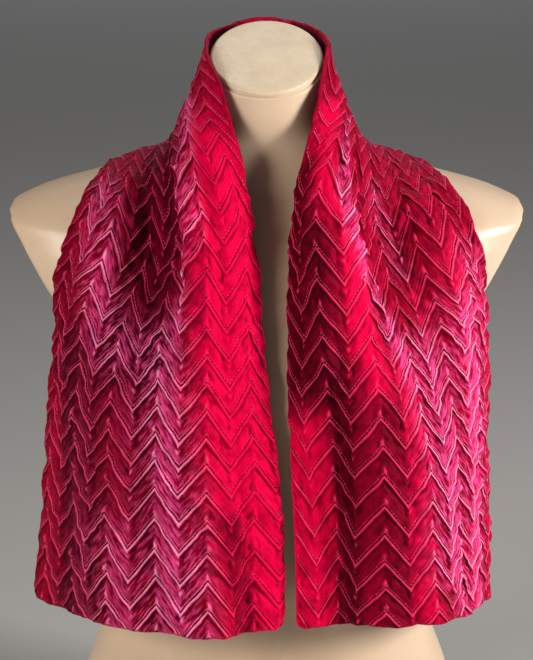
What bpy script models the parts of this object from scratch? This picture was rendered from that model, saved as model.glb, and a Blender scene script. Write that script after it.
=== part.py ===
# Velvet neck scarf, sewn in rows of zigzag pintucks and hung round a limbless dress form.
# Metres, +Z up, +X to the wearer's left, the front faces -Y.
# Origin: middle of the form's flat base.

import bpy
import bmesh
import numpy as np
from mathutils import Vector
from mathutils.bvhtree import BVHTree

MM = 0.001

# The strip as it was cut and tucked
STRIP_WIDTH = 0.240
TUCK_PITCH = 0.0225
TUCKS_PER_SIDE = 26.5
HALF_LENGTH = TUCK_PITCH * TUCKS_PER_SIDE
ZIGZAG_HALF_PERIOD = 0.0202
ZIGZAG_START = 0.1
ZIGZAG_HEIGHT = 0.026
TUCK_RISE = 0.0021
TUCK_HALF_WIDTH = 0.0034
FACE_THICKNESS = 0.0016
BACKING_THICKNESS = 0.0010
LAYER_GAP = 0.0003
SEAM_GAP = 0.0005
NECK_STRETCH_TUCKS = 5.5
SHORTEST_STEP = 0.0015

# Places across the strip, counted in zigzag half periods from the edge beside the neck
LIP_AT = 3.8
TREAD_AT = 6.6
FACE_COLUMNS = (0, 0.6, 1.1, 1.6, 2.1, 2.6, 3.1, 3.6, 4.1, 4.6, 5.1, 5.6, 6.1, 6.6,
                7.1, 8.1, 9.1, 10.1, 11.1, STRIP_WIDTH / ZIGZAG_HALF_PERIOD)
PLAIN_COLUMNS = (0, 1.1, 2.1, 3.1, 4.1, 4.6, 5.1, 5.6, 6.1,
                 7.1, 8.1, 9.1, 10.1, 11.1, STRIP_WIDTH / ZIGZAG_HALF_PERIOD)

# Sections across the strip, in millimetres, one row for each.
# tuck: tucks from the centre back. inner: edge beside the neck. lip: edge of the rolled part.
# tread: where the cloth comes out from under the lip. outer: edge on the shoulder.
# roll, bow: rise of the inner and outer spans. under: how far the hidden fold runs inwards.
BACK_SECTIONS = (
    # tuck, inner, lip, tread, outer, roll, under, bow
    (0.0, (0, 56, 612), (0, 64, 541), (0, 88, 497), (0, 108, 394), 1, 0, 7),
    (1.9, (34, 42, 606), (27, 60, 541), (34, 84, 498), (49, 106, 399), 3, 0, 8),
    (3.6, (42, 10, 602), (47, 49, 545), (58, 69, 508), (92, 98, 420), 4, 1, 12),
)
RIGHT_SECTIONS = (
    (5.3, (-34, -32, 585), (-58, 24, 550), (-69, 40, 519), (-112, 87, 462), 6, 1, 11),
    (7.5, (-24, -51, 553), (-61, 0, 544), (-74, 12, 519), (-119, 52, 499), 8, 1, 3),
    (9.0, (-18, -56, 532), (-59, -34, 534), (-77, -22, 514), (-123, 18, 502), 11, 3, 0),
    (10.8, (-15, -62, 502), (-58, -72, 505), (-77, -48, 495), (-132, -16, 493), 15, 8, 4),
    (13.0, (-9, -78, 461), (-55, -96, 466), (-80, -68, 457), (-147, -48, 462), 16, 10, 15),
    (15.2, (-5, -96, 419), (-55, -114, 424), (-94, -90, 419), (-154, -42, 426), 12, 7, 13),
    (17.6, (0, -109, 373), (-53, -130, 380), (-101, -111, 378), (-158, -46, 378), 7, 2, 11),
    (20.5, (8, -113, 313), (-52, -137, 319), (-104, -122, 319), (-165, -47, 316), 3, 0, 8),
    (24.0, (13, -112, 239), (-48, -138, 244), (-107, -125, 244), (-173, -44, 237), 1, 0, 5),
    (26.5, (13, -112, 183), (-45, -137, 187), (-106, -125, 189), (-180, -42, 177), 0, 0, 4),
)
LEFT_SECTIONS = (
    (5.3, (38, -32, 578), (58, 24, 548), (69, 40, 518), (112, 87, 462), 6, 1, 11),
    (7.5, (31, -50, 549), (61, 0, 542), (74, 12, 518), (119, 52, 499), 8, 1, 3),
    (9.0, (26, -57, 529), (59, -34, 532), (78, -22, 513), (125, 19, 502), 11, 3, 0),
    (10.8, (22, -63, 500), (60, -74, 504), (81, -48, 496), (138, -13, 492), 15, 8, 4),
    (13.0, (18, -80, 462), (63, -98, 467), (89, -68, 459), (156, -45, 458), 15, 10, 15),
    (15.2, (17, -96, 419), (67, -114, 423), (101, -90, 418), (162, -39, 418), 10, 7, 13),
    (17.6, (16, -109, 373), (70, -130, 379), (108, -111, 376), (164, -46, 372), 3, 2, 11),
    (20.5, (18, -113, 313), (74, -130, 319), (119, -122, 319), (166, -48, 309), -3, 0, 8),
    (24.0, (21, -115, 239), (77, -128, 242), (125, -122, 245), (170, -48, 235), -6, 0, 5),
    (26.5, (22, -115, 184), (78, -126, 192), (131, -118, 191), (172, -45, 177), -5, 0, 4),
)

# Level rings of the dress form, in millimetres: height, half width, front and back
FORM_RINGS = (
    (0, 160, -104, 112),
    (50, 157, -100, 110),
    (100, 144, -94, 100),
    (135, 132, -89, 90),
    (165, 126, -86, 82),
    (200, 125, -88, 80),
    (250, 130, -93, 84),
    (300, 137, -98, 92),
    (345, 143, -100, 98),
    (385, 145, -97, 100),
    (402, 152, -93, 100),
    (418, 174, -88, 100),
    (440, 190, -80, 99),
    (460, 201, -69, 97),
    (472, 204, -62, 94),
    (481, 189, -56, 90),
    (490, 168, -50, 85),
    (497, 143, -46, 80),
    (503, 120, -44, 75),
    (512, 92, -42, 66),
    (525, 70, -40, 58),
    (545, 54, -41, 52),
    (565, 46, -43, 48),
    (590, 42, -45, 46),
    (640, 42, -46, 47),
)
FORM_SEGMENTS = 40
FORM_SQUARENESS = 2.25
CHEST_RISE = 0.026
CHEST_PLACE = (0.074, 0.345)
CHEST_SPREAD = (0.042, 0.050)

# Slanting arm cuts and the neck cut
ARMPIT = (0.147, 0.395)
ARM_CUT_SLOPE = np.radians(30)
NECK_CUT_HEIGHT = 0.589
NECK_CUT_TILT = np.radians(22.4)
NECK_HALF_WIDTH = 0.0415
NECK_HALF_DEPTH = 0.0455
CUTTER_SIZE = 0.4
CAP_THICKNESS = 0.0045
CAP_BEVEL = 0.0016
CAP_SEGMENTS = 32
REST_GAP = 0.0007

# Fineness of the worked-out surface
ALONG_STEP = 0.25
ACROSS_SAMPLES = 96
LINE_SAMPLES = 384
SETTLE_ROUNDS = 8
SPREAD_ROUNDS = 6
SOFTEN_ROUNDS = 10
CELL_SAMPLES = (0, 0.25, 0.5, 0.75, 1)
SAME_PLACE = 1e-6

# Finishes: colour, roughness
VELVET = ((0.42, 0.006, 0.05, 1), 0.55)
BACKING = ((0.36, 0.03, 0.09, 1), 0.5)
FORM_SHELL = ((0.62, 0.47, 0.35, 1), 0.35)
FORM_CAP = ((0.74, 0.60, 0.44, 1), 0.6)


def clear_scene():
    for old in list(bpy.data.objects):
        bpy.data.objects.remove(old, do_unlink=True)


def make_collection(name):
    group = bpy.data.collections.new(name)
    bpy.context.scene.collection.children.link(group)
    return group


def make_material(name, finish):
    material = bpy.data.materials.new(name)
    material.use_nodes = True
    shader = material.node_tree.nodes["Principled BSDF"]
    shader.inputs["Base Color"].default_value = finish[0]
    shader.inputs["Roughness"].default_value = finish[1]
    shader.inputs["Metallic"].default_value = 0.0
    return material


def add_object(name, points, faces, group, material):
    shape = bmesh.new()
    corners = [shape.verts.new(point) for point in points]
    for face in faces:
        shape.faces.new([corners[i] for i in face])
    bmesh.ops.recalc_face_normals(shape, faces=shape.faces)
    mesh = bpy.data.meshes.new(name)
    shape.to_mesh(mesh)
    shape.free()
    mesh.materials.append(material)
    piece = bpy.data.objects.new(name, mesh)
    group.objects.link(piece)
    return piece


def between_rows(knots, values, at):
    """Smooth values at the places in at, between the rows of a table."""
    slopes = np.gradient(values, knots, axis=0)
    row = np.clip(np.searchsorted(knots, at, side="right") - 1, 0, len(knots) - 2)
    span = (knots[row + 1] - knots[row])[:, None]
    t = (at - knots[row])[:, None] / span
    rise = 3 * t**2 - 2 * t**3
    leave = (t**3 - 2 * t**2 + t) * span
    arrive = (t**3 - t**2) * span
    straight = (1 - rise) * values[row] + rise * values[row + 1]
    return straight + leave * slopes[row] + arrive * slopes[row + 1]


# Dress form

def form_ring(height, half_width, front, back):
    """Points of one level ring, with the chest's fullness on its front."""
    angles = np.linspace(0, 2 * np.pi, FORM_SEGMENTS, endpoint=False)
    power = 2 / FORM_SQUARENESS
    x = half_width * np.sign(np.cos(angles)) * np.abs(np.cos(angles)) ** power
    sweep = np.sign(np.sin(angles)) * np.abs(np.sin(angles)) ** power
    y = (front + back) / 2 + (back - front) / 2 * sweep
    side = (np.abs(x) - CHEST_PLACE[0]) / CHEST_SPREAD[0]
    level = (height - CHEST_PLACE[1]) / CHEST_SPREAD[1]
    facing = np.clip(-sweep, 0, 1)
    y -= CHEST_RISE * facing * np.exp(-side**2 - level**2)
    return [(px, py, height) for px, py in zip(x, y)]


def add_cutter(name, group, place, turn):
    bpy.ops.mesh.primitive_cube_add(size=CUTTER_SIZE)
    cutter = bpy.context.active_object
    cutter.name = name
    cutter.location = place
    cutter.rotation_euler = turn
    for old in list(cutter.users_collection):
        old.objects.unlink(cutter)
    group.objects.link(cutter)
    cutter.hide_render = True
    cutter.display_type = "WIRE"
    return cutter


def add_form_torso(group, material):
    """The form's body, uncut, lofted through its level rings."""
    table = np.array(FORM_RINGS, float) * MM
    points = []
    for ring in table:
        points += form_ring(*ring)
    faces = []
    for ring in range(len(table) - 1):
        for i in range(FORM_SEGMENTS):
            a = ring * FORM_SEGMENTS + i
            b = ring * FORM_SEGMENTS + (i + 1) % FORM_SEGMENTS
            faces.append((a, b, b + FORM_SEGMENTS, a + FORM_SEGMENTS))
    faces.append(tuple(range(FORM_SEGMENTS)))
    top = (len(table) - 1) * FORM_SEGMENTS
    faces.append(tuple(range(top, top + FORM_SEGMENTS)))
    return add_object("form_torso", points, faces, group, material)


def cut_arms_and_neck(torso, cutters):
    """Slanting cuts from the shoulders' tips to the armpits, and one across the neck."""
    half = CUTTER_SIZE / 2
    for side, name in ((1, "cut_left_arm"), (-1, "cut_right_arm")):
        away = Vector((side * np.cos(ARM_CUT_SLOPE), 0, -np.sin(ARM_CUT_SLOPE)))
        upwards = Vector((side * np.sin(ARM_CUT_SLOPE), 0, np.cos(ARM_CUT_SLOPE)))
        place = Vector((side * ARMPIT[0], 0, ARMPIT[1])) + (away + upwards) * half
        cutter = add_cutter(name, cutters, place, (0, side * ARM_CUT_SLOPE, 0))
        cut = torso.modifiers.new(name, "BOOLEAN")
        cut.operation = "DIFFERENCE"
        cut.object = cutter
    up = Vector((0, -np.sin(NECK_CUT_TILT), np.cos(NECK_CUT_TILT)))
    place = Vector((0, 0, NECK_CUT_HEIGHT)) + up * half
    cutter = add_cutter("cut_neck", cutters, place, (NECK_CUT_TILT, 0, 0))
    cut = torso.modifiers.new("cut_neck", "BOOLEAN")
    cut.operation = "DIFFERENCE"
    cut.object = cutter


def add_neck_cap(group, material):
    """Oval lid on the neck cut, with a rounded rim."""
    shape = bmesh.new()
    bmesh.ops.create_cone(shape, cap_ends=True, segments=CAP_SEGMENTS, radius1=1, radius2=1, depth=1)
    long_half = NECK_HALF_DEPTH / np.cos(NECK_CUT_TILT)
    bmesh.ops.scale(shape, vec=(NECK_HALF_WIDTH, long_half, CAP_THICKNESS), verts=shape.verts)
    mesh = bpy.data.meshes.new("form_neck_cap")
    shape.to_mesh(mesh)
    shape.free()
    mesh.materials.append(material)
    cap = bpy.data.objects.new("form_neck_cap", mesh)
    group.objects.link(cap)
    up = Vector((0, -np.sin(NECK_CUT_TILT), np.cos(NECK_CUT_TILT)))
    cap.location = Vector((0, 0, NECK_CUT_HEIGHT)) + up * (CAP_THICKNESS / 2 + LAYER_GAP)
    cap.rotation_euler = (NECK_CUT_TILT, 0, 0)
    rim = cap.modifiers.new("rounded_rim", "BEVEL")
    rim.width = CAP_BEVEL
    rim.segments = 2
    rim.limit_method = "ANGLE"
    return cap


# Draped surface of the strip

def strip_sections():
    """The tables as one run from the right hem, round the neck, to the left hem."""
    def row(section, side, mirrored):
        tuck, inner, lip, tread, outer, roll, under, bow = section
        flip = np.array((side if mirrored else 1, 1, 1))
        spots = [np.array(spot) * flip for spot in (inner, lip, tread, outer)]
        return [side * tuck * TUCK_PITCH / MM] + [n for spot in spots for n in spot] + [roll, under, bow]

    run = [row(section, -1, False) for section in reversed(RIGHT_SECTIONS)]
    run += [row(section, -1, True) for section in reversed(BACK_SECTIONS[1:])]
    run += [row(section, 1, True) for section in BACK_SECTIONS]
    run += [row(section, 1, False) for section in LEFT_SECTIONS]
    return np.array(run, float) * MM


def unit(vectors):
    return vectors / np.linalg.norm(vectors, axis=-1, keepdims=True)


def across_section(stops, places):
    """Points along one section, at places counted in zigzag half periods."""
    gaps = np.linalg.norm(np.diff(stops, axis=0), axis=1)
    knots = np.concatenate([[0], np.cumsum(np.sqrt(gaps))])
    at = np.linspace(0, knots[-1], LINE_SAMPLES)
    line = between_rows(knots, stops, at)
    run = np.concatenate([[0], np.cumsum(np.linalg.norm(np.diff(line, axis=0), axis=1))])
    marks = np.interp(knots[[0, 2, 4, 6]], at, run)
    wanted = np.interp(places, (0, LIP_AT, TREAD_AT, places[-1]), marks)
    return np.stack([np.interp(wanted, run, line[:, axis]) for axis in range(3)], axis=1)


def falls(place, next_place):
    """Whether a tuck runs back towards the middle of the strip between two columns."""
    return zigzag(next_place) > zigzag(place)


def cell_point(a, b, c, d, u, v, split_ac):
    """A point on the two flat faces between four corners, u from a to d and v from a to b."""
    if split_ac:
        return a + u * (d - a) + v * (c - d) if u >= v else a + v * (b - a) + u * (c - b)
    if u + v <= 1:
        return a + u * (d - a) + v * (b - a)
    return c + (1 - u) * (b - c) + (1 - v) * (d - c)


def lattice_pushes(surface, form):
    """How far each corner of a plain wall's faces has to move to lift those faces off the form."""
    lines = np.arange(-np.ceil(TUCKS_PER_SIDE) - 1, np.ceil(TUCKS_PER_SIDE) + 2) * TUCK_PITCH
    corners = np.zeros((len(lines), len(PLAIN_COLUMNS), 3))
    for i, line in enumerate(lines):
        for j, place in enumerate(PLAIN_COLUMNS):
            corners[i, j] = surface_point(surface, line - zigzag(place) * ZIGZAG_HEIGHT / 2, place, 0)
    push = np.zeros_like(corners)
    for i in range(len(lines) - 1):
        for j in range(len(PLAIN_COLUMNS) - 1):
            spots = ((i, j), (i, j + 1), (i + 1, j + 1), (i + 1, j))
            four = [corners[spot] for spot in spots]
            split_ac = falls(PLAIN_COLUMNS[j], PLAIN_COLUMNS[j + 1])
            for u in CELL_SAMPLES:
                for v in CELL_SAMPLES:
                    point = Vector(cell_point(*four, u, v, split_ac))
                    near, normal, face, distance = form.find_nearest(point)
                    short = REST_GAP - (point - near).dot(normal)
                    if short <= 0:
                        continue
                    for spot in spots:
                        if np.linalg.norm(push[spot]) < short:
                            push[spot] = np.array(normal) * short
    return lines, push


def blurred(field):
    wide = np.pad(field, ((1, 1), (1, 1), (0, 0)), mode="edge")
    field = wide[:, 1:-1] / 2 + (wide[:, 2:] + wide[:, :-2]) / 4
    return field[1:-1] / 2 + (field[2:] + field[:-2]) / 4


def lift_off_form(grid, form):
    """Lifts the cloth's back clear of the form, each lift spread so that the cloth stays smooth."""
    for turn in range(SETTLE_ROUNDS):
        push = np.zeros_like(grid)
        for i in range(grid.shape[0]):
            for j in range(grid.shape[1]):
                point = Vector(grid[i, j])
                spot, normal, face, distance = form.find_nearest(point)
                short = REST_GAP - (point - spot).dot(normal)
                if short > 0:
                    push[i, j] = np.array(normal) * short
        for spread in range(SPREAD_ROUNDS):
            push = blurred(push)
        grid = grid + push
    return grid


def seat_plain_faces(along, places, grid, form):
    """Small further lifts where the flat faces of the plain walls would cut the form's curve."""
    columns = np.array(PLAIN_COLUMNS)
    column = np.clip(np.searchsorted(columns, places, side="right") - 1, 0, len(columns) - 2)
    v = ((places - columns[column]) / (columns[column + 1] - columns[column]))[None, :, None]
    for turn in range(SETTLE_ROUNDS):
        lines, push = lattice_pushes((along, places, grid, np.ones_like(grid)), form)
        row = (along[:, None] + zigzag(places)[None, :] * ZIGZAG_HEIGHT / 2 - lines[0]) / TUCK_PITCH
        whole = np.clip(row.astype(int), 0, len(lines) - 2)
        u = (row - whole)[:, :, None]
        low = push[whole, column] * (1 - v) + push[whole, column + 1] * v
        high = push[whole + 1, column] * (1 - v) + push[whole + 1, column + 1] * v
        grid = grid + low * (1 - u) + high * u
    return grid


def draped_surface(form):
    """Grid of the cloth's back face and its outward directions, along and across the strip."""
    table = strip_sections()
    along = np.arange(-TUCKS_PER_SIDE, TUCKS_PER_SIDE + ALONG_STEP / 2, ALONG_STEP) * TUCK_PITCH
    rows = between_rows(table[:, 0], table[:, 1:], along)
    inner, lip, tread, outer = rows[:, 0:3], rows[:, 3:6], rows[:, 6:9], rows[:, 9:12]
    roll, under, bow = rows[:, 12:13], rows[:, 13:14], rows[:, 14:15]
    roll_middle = (inner + lip) / 2
    bow_middle = (tread + outer) / 2
    roll_out = unit(np.cross(np.gradient(roll_middle, axis=0), lip - inner))
    bow_out = unit(np.cross(np.gradient(bow_middle, axis=0), outer - tread))
    crown = roll_middle + roll_out * roll
    hidden = (lip + tread) / 2 - unit(outer - inner) * under
    side = bow_middle + bow_out * bow
    stops = np.stack([inner, crown, lip, hidden, tread, side, outer], axis=1)
    places = np.linspace(0, STRIP_WIDTH / ZIGZAG_HALF_PERIOD, ACROSS_SAMPLES)
    grid = np.array([across_section(section, places) for section in stops])
    for turn in range(SOFTEN_ROUNDS):
        grid[:, 1:-1] = grid[:, 1:-1] / 2 + (grid[:, :-2] + grid[:, 2:]) / 4
    grid = lift_off_form(grid, form)
    grid = seat_plain_faces(along, places, grid, form)
    outward = unit(np.cross(np.gradient(grid, axis=0), np.gradient(grid, axis=1)))
    return along, places, grid, outward


def surface_point(surface, distance, place, lift):
    """A point lift above the cloth's back, distance along the strip and place across it."""
    along, places, grid, outward = surface
    i = np.clip((distance - along[0]) / (along[1] - along[0]), 0, len(along) - 1.001)
    j = np.clip(place / (places[1] - places[0]), 0, len(places) - 1.001)
    i0, j0 = int(i), int(j)
    u, v = i - i0, j - j0
    weights = ((i0, j0, (1 - u) * (1 - v)), (i0 + 1, j0, u * (1 - v)),
               (i0, j0 + 1, (1 - u) * v), (i0 + 1, j0 + 1, u * v))
    point = sum(grid[a, b] * w for a, b, w in weights)
    normal = sum(outward[a, b] * w for a, b, w in weights)
    return point + normal / np.linalg.norm(normal) * lift


def zigzag(place):
    """1 and -1 by turns at the corners of a tuck."""
    return 2 * np.abs((place - ZIGZAG_START) % 2 - 1) - 1


# Walls

def wall_side(surface, lines, columns, points):
    """Adds one side of a wall to points. A line is a distance and a lift; hems are cut straight."""
    grid = []
    hem_lift = lines[0][1]
    for distance, lift in lines:
        row = []
        for column, place in enumerate(columns):
            spot = distance - zigzag(place) * ZIGZAG_HEIGHT / 2
            at_hem = abs(spot) > HALF_LENGTH - SHORTEST_STEP
            if at_hem:
                spot = np.sign(spot) * HALF_LENGTH
            if at_hem and grid and grid[-1][column][1] == spot:
                row.append(grid[-1][column])
                continue
            points.append(surface_point(surface, spot, place, hem_lift if at_hem else lift))
            row.append((len(points) - 1, spot))
        grid.append(row)
    faces = []
    for low, high in zip(grid[:-1], grid[1:]):
        for column in range(len(columns) - 1):
            a, b = low[column][0], low[column + 1][0]
            c, d = high[column + 1][0], high[column][0]
            split_ac = falls(columns[column], columns[column + 1])
            for face in ((a, b, c), (a, c, d)) if split_ac else ((a, b, d), (b, c, d)):
                if len(set(face)) == 3:
                    faces.append(face)
    return grid, faces


def edge_loop(grid, columns):
    """Corner numbers round a wall's side, each with its place round the edge, from 0 to 4."""
    def along(edge):
        spots = np.array([spot for corner, spot in edge])
        return (spots - spots[0]) / (spots[-1] - spots[0])

    across = np.array(columns) / columns[-1]
    near = [row[0] for row in grid]
    far = [row[-1] for row in grid]
    first = [(place, corner) for place, (corner, spot) in zip(across, grid[0])]
    last = [(3 - place, corner) for place, (corner, spot) in zip(across, grid[-1])]
    far_side = [(1 + part, corner) for part, (corner, spot) in zip(along(far), far)]
    near_side = [(4 - part, corner) for part, (corner, spot) in zip(along(near), near)]
    loop = first + far_side + last[::-1] + near_side[::-1]
    return [spot for i, spot in enumerate(loop) if i == 0 or loop[i - 1][1] != spot[1]]


def rim_faces(first, second, points):
    """Faces between two edge loops with unlike numbers of corners."""
    def length(a, b):
        return np.linalg.norm(points[a] - points[b])

    faces = []
    i = j = 0
    while i < len(first) - 1 or j < len(second) - 1:
        here, there = first[i][1], second[j][1]
        next_first = first[i + 1] if i < len(first) - 1 else (np.inf, here)
        next_second = second[j + 1] if j < len(second) - 1 else (np.inf, there)
        step_first = next_first[0] < next_second[0]
        if abs(next_first[0] - next_second[0]) < SAME_PLACE:
            step_first = length(next_first[1], there) < length(here, next_second[1])
        if step_first:
            faces.append((here, next_first[1], there))
            i += 1
        else:
            faces.append((here, next_second[1], there))
            j += 1
    return faces


def add_wall(name, surface, sides, group, material):
    """A closed wall between two sides, each given by its lines and its columns."""
    points, faces, loops = [], [], []
    for lines, columns in sides:
        grid, side_faces = wall_side(surface, lines, columns, points)
        faces += side_faces
        loops.append(edge_loop(grid, columns))
    faces += rim_faces(loops[0], loops[1], points)
    return add_object(name, points, faces, group, material)


def tuck_lines(start, end, base, rise):
    """Lines of the tucked face: both feet and the crest of every tuck from start to end."""
    first = int(np.ceil(start / TUCK_PITCH))
    last = int(np.floor(end / TUCK_PITCH))
    lines = [(start, base)]
    for tuck in range(first, last + 1):
        middle = tuck * TUCK_PITCH
        lines += [(middle - TUCK_HALF_WIDTH, base), (middle, base + rise), (middle + TUCK_HALF_WIDTH, base)]
    return lines + [(end, base)]


def plain_lines(start, end, lift):
    """Lines of a plain face, one behind the middle of each tuck."""
    first = int(np.ceil(start / TUCK_PITCH))
    last = int(np.floor(end / TUCK_PITCH))
    middles = [(tuck * TUCK_PITCH, lift) for tuck in range(first, last + 1)]
    return [(start, lift)] + middles + [(end, lift)]


def add_stretch(place_name, start, end, surface, group, velvet, backing):
    """One stretch of the scarf: its tucked velvet face, and the backing sewn behind it."""
    back = BACKING_THICKNESS
    inside = back + LAYER_GAP
    face = (tuck_lines(start, end, inside + FACE_THICKNESS, TUCK_RISE), FACE_COLUMNS)
    face_inside = (plain_lines(start, end, inside), PLAIN_COLUMNS)
    add_wall("scarf_" + place_name, surface, (face, face_inside), group, velvet)
    backing_sides = ((plain_lines(start, end, back), PLAIN_COLUMNS),
                     (plain_lines(start, end, 0), PLAIN_COLUMNS))
    add_wall("backing_" + place_name, surface, backing_sides, group, backing)


def main():
    clear_scene()
    group = make_collection("neck_scarf_on_dress_form")
    cutters = make_collection("cutters")
    velvet = make_material("velvet", VELVET)
    backing = make_material("backing", BACKING)
    shell = make_material("form_shell", FORM_SHELL)
    lid = make_material("form_cap", FORM_CAP)

    torso = add_form_torso(group, shell)
    bpy.context.view_layer.update()
    form = BVHTree.FromObject(torso, bpy.context.evaluated_depsgraph_get())
    surface = draped_surface(form)
    cut_arms_and_neck(torso, cutters)
    add_neck_cap(group, lid)

    split = NECK_STRETCH_TUCKS * TUCK_PITCH
    gap = SEAM_GAP / 2
    past_hem = (np.ceil(TUCKS_PER_SIDE) + 0.5) * TUCK_PITCH
    stretches = (
        ("right_front", -past_hem, -split - gap),
        ("neck_back", -split + gap, split - gap),
        ("left_front", split + gap, past_hem),
    )
    for place_name, start, end in stretches:
        add_stretch(place_name, start, end, surface, group, velvet, backing)


main()
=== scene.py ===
import bpy
import bmesh
import numpy as np
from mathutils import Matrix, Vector
from mathutils.bvhtree import BVHTree


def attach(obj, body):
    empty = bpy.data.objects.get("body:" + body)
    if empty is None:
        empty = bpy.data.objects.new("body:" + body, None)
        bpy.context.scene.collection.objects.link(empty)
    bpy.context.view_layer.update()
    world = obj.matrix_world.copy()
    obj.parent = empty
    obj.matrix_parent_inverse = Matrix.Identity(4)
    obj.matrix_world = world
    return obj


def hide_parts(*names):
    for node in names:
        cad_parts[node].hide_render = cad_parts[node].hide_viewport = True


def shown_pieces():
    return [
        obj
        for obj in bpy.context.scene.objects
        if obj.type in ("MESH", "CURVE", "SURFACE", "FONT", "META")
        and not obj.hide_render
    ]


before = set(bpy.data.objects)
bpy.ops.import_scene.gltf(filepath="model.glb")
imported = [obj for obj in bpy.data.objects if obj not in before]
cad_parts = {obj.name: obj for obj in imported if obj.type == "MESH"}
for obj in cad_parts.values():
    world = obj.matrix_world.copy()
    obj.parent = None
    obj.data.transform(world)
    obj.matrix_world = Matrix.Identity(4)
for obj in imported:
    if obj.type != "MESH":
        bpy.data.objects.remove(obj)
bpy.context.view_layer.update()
mm = 0.001
print("frame loaded:", len(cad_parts), "nodes")


# dress form: level rings as height, half width, front, back, all in mm
formShape = {
    "rings": (
        (0, 160, -104, 112), (50, 157, -100, 110), (100, 144, -94, 100), (135, 132, -89, 90),
        (165, 126, -86, 82), (200, 125, -88, 80), (250, 130, -93, 84), (300, 137, -98, 92),
        (345, 143, -100, 98), (385, 145, -97, 100), (402, 152, -93, 100), (418, 174, -88, 100),
        (440, 190, -80, 99), (460, 201, -69, 97), (472, 204, -62, 94), (481, 189, -56, 90),
        (490, 168, -50, 85), (497, 143, -46, 80), (503, 120, -44, 75), (512, 92, -42, 66),
        (525, 70, -40, 58), (545, 54, -41, 52), (565, 46, -43, 48), (590, 42, -45, 46),
        (640, 42, -46, 47),
    ),
    "squareness": 2.25,
    "chest": {"rise": 26, "x": 74, "z": 345, "spreadX": 42, "spreadZ": 50},
    "armCut": {"x": 147, "z": 395, "slope": 30, "softness": 3.5},
    "neckCut": {"z": 589, "tilt": 22.4, "from": 535},
    "footRadius": 5,
    "segments": 144,
    "ringStep": 4.0,
}

# strip as cut and tucked, in mm
strip = {
    "width": 240.0,
    "tuckPitch": 22.5,
    "tucksPerSide": 26.5,
    "halfPeriod": 20.2,
    "zigzagStart": 0.1,
    "zigzagHeight": 26.0,
    "frontFrom": 5.5,
    "lipAt": 3.8,
    "treadAt": 6.6,
    "wallTop": 2.9,
    "curl": 1.45,
    "turnIn": 2.4,
    "cornerRadius": 8.0,
    "restGap": 0.7,
    "edgeBand": 1.6,
    "edgeStep": 0.75,
    "edgeColumns": (0, 0.8, 1.45),
    "rowGap": 0.05,
    "settle": 14,
    "spare": 25,
}
pitch = strip["tuckPitch"]
halfPeriod = strip["halfPeriod"]
halfLength = pitch * strip["tucksPerSide"]

# sections across the strip in mm: tuck, inner edge, lip, tread, outer edge, roll, under, bow
backSections = (
    (0.0, (0, 56, 612), (0, 64, 541), (0, 88, 497), (0, 108, 394), 1, 0, 7),
    (1.9, (34, 42, 606), (27, 60, 541), (34, 84, 498), (49, 106, 399), 3, 0, 8),
    (3.6, (42, 10, 602), (47, 49, 545), (58, 69, 508), (92, 98, 420), 4, 1, 12),
)
rightSections = (
    (5.3, (-34, -32, 585), (-58, 24, 550), (-69, 40, 519), (-112, 87, 462), 6, 1, 11),
    (7.5, (-24, -51, 553), (-61, 0, 544), (-74, 12, 519), (-119, 52, 499), 8, 1, 3),
    (9.0, (-18, -56, 532), (-59, -34, 534), (-77, -22, 514), (-123, 18, 502), 11, 3, 0),
    (10.8, (-15, -62, 502), (-58, -72, 505), (-77, -48, 495), (-132, -16, 493), 15, 8, 4),
    (13.0, (-9, -78, 461), (-55, -96, 466), (-80, -68, 457), (-147, -48, 462), 16, 10, 15),
    (15.2, (-5, -96, 419), (-55, -114, 424), (-94, -90, 419), (-154, -42, 426), 12, 7, 13),
    (17.6, (0, -109, 373), (-53, -130, 380), (-101, -111, 378), (-158, -46, 378), 7, 2, 11),
    (20.5, (8, -113, 313), (-52, -137, 319), (-104, -122, 319), (-165, -47, 316), 3, 0, 8),
    (24.0, (13, -112, 239), (-48, -138, 244), (-107, -125, 244), (-173, -44, 237), 1, 0, 5),
    (26.5, (13, -112, 183), (-45, -137, 187), (-106, -125, 189), (-180, -42, 177), 0, 0, 4),
)
leftSections = (
    (5.3, (38, -32, 578), (58, 24, 548), (69, 40, 518), (112, 87, 462), 6, 1, 11),
    (7.5, (31, -50, 549), (61, 0, 542), (74, 12, 518), (119, 52, 499), 8, 1, 3),
    (9.0, (26, -57, 529), (59, -34, 532), (78, -22, 513), (125, 19, 502), 11, 3, 0),
    (10.8, (22, -63, 500), (60, -74, 504), (81, -48, 496), (138, -13, 492), 15, 8, 4),
    (13.0, (18, -80, 462), (63, -98, 467), (89, -68, 459), (156, -45, 458), 15, 10, 15),
    (15.2, (17, -96, 419), (67, -114, 423), (101, -90, 418), (162, -39, 418), 10, 7, 13),
    (17.6, (16, -109, 373), (70, -130, 379), (108, -111, 376), (164, -46, 372), 3, 2, 11),
    (20.5, (18, -113, 313), (74, -130, 319), (119, -122, 319), (166, -48, 309), -3, 0, 8),
    (24.0, (21, -115, 239), (77, -128, 242), (125, -122, 245), (170, -48, 235), -6, 0, 5),
    (26.5, (22, -115, 184), (78, -126, 192), (131, -118, 191), (172, -45, 177), -5, 0, 4),
)

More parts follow.
